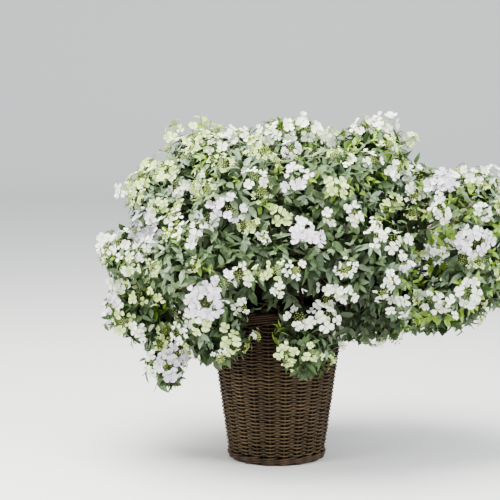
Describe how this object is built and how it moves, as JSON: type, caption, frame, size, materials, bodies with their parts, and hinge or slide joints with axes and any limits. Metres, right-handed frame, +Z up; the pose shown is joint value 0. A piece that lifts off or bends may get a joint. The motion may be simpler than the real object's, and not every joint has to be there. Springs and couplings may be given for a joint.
{
  "type": "potted hydrangea shrub",
  "caption": "Trailing lacecap hydrangea with a broad arching crown of white flower heads, grown in a tall tapered wicker basket planter.",
  "frame": {"origin": "centre of the basket's flat underside, at ground level", "axes": "+Z up, -Y towards the side that the shrub is seen from, +X to the viewer's right, where the crown reaches furthest"},
  "size_m": [1.3266, 0.9317, 1.0729],
  "materials": {
    "wicker": "matte",
    "wicker_border": "matte",
    "soil": "matte",
    "bark": "matte",
    "foliage": "matte"
  },
  "bodies": {
    "root": {"basket_body": "wicker", "basket_foot_border": "wicker_border", "basket_rim_border": "wicker_border", "bough_back_left": "bark", "bough_back_left_hanging": "bark", "bough_back_middle": "bark", "bough_back_right": "bark", "bough_back_right_hanging": "bark", "bough_front_left": "bark", "bough_front_left_hanging": "bark", "bough_front_middle": "bark", "bough_front_right": "bark", "bough_front_right_hanging": "bark", "bough_front_right_low": "bark", "bough_front_upper_left": "bark", "bough_front_upper_right": "bark", "bough_left_hanging": "bark", "bough_left_low": "bark", "bough_left_reach": "bark", "bough_left_shoulder": "bark", "bough_right_low": "bark", "bough_right_reach": "bark", "bough_right_shoulder": "bark", "bough_top_left": "bark", "bough_top_middle": "bark", "bough_top_right": "bark", "foliage_back_left": "foliage", "foliage_back_left_hanging": "foliage", "foliage_back_middle": "foliage", "foliage_back_right": "foliage", "foliage_back_right_hanging": "foliage", "foliage_front_left": "foliage", "foliage_front_left_hanging": "foliage", "foliage_front_middle": "foliage", "foliage_front_right": "foliage", "foliage_front_right_hanging": "foliage", "foliage_front_right_low": "foliage", "foliage_front_upper_left": "foliage", "foliage_front_upper_right": "foliage", "foliage_left_hanging": "foliage", "foliage_left_low": "foliage", "foliage_left_reach": "foliage", "foliage_left_shoulder": "foliage", "foliage_right_low": "foliage", "foliage_right_reach": "foliage", "foliage_right_shoulder": "foliage", "foliage_top_left": "foliage", "foliage_top_middle": "foliage", "foliage_top_right": "foliage", "potting_soil": "soil", "stool": "bark"}
  },
  "joints": []
}
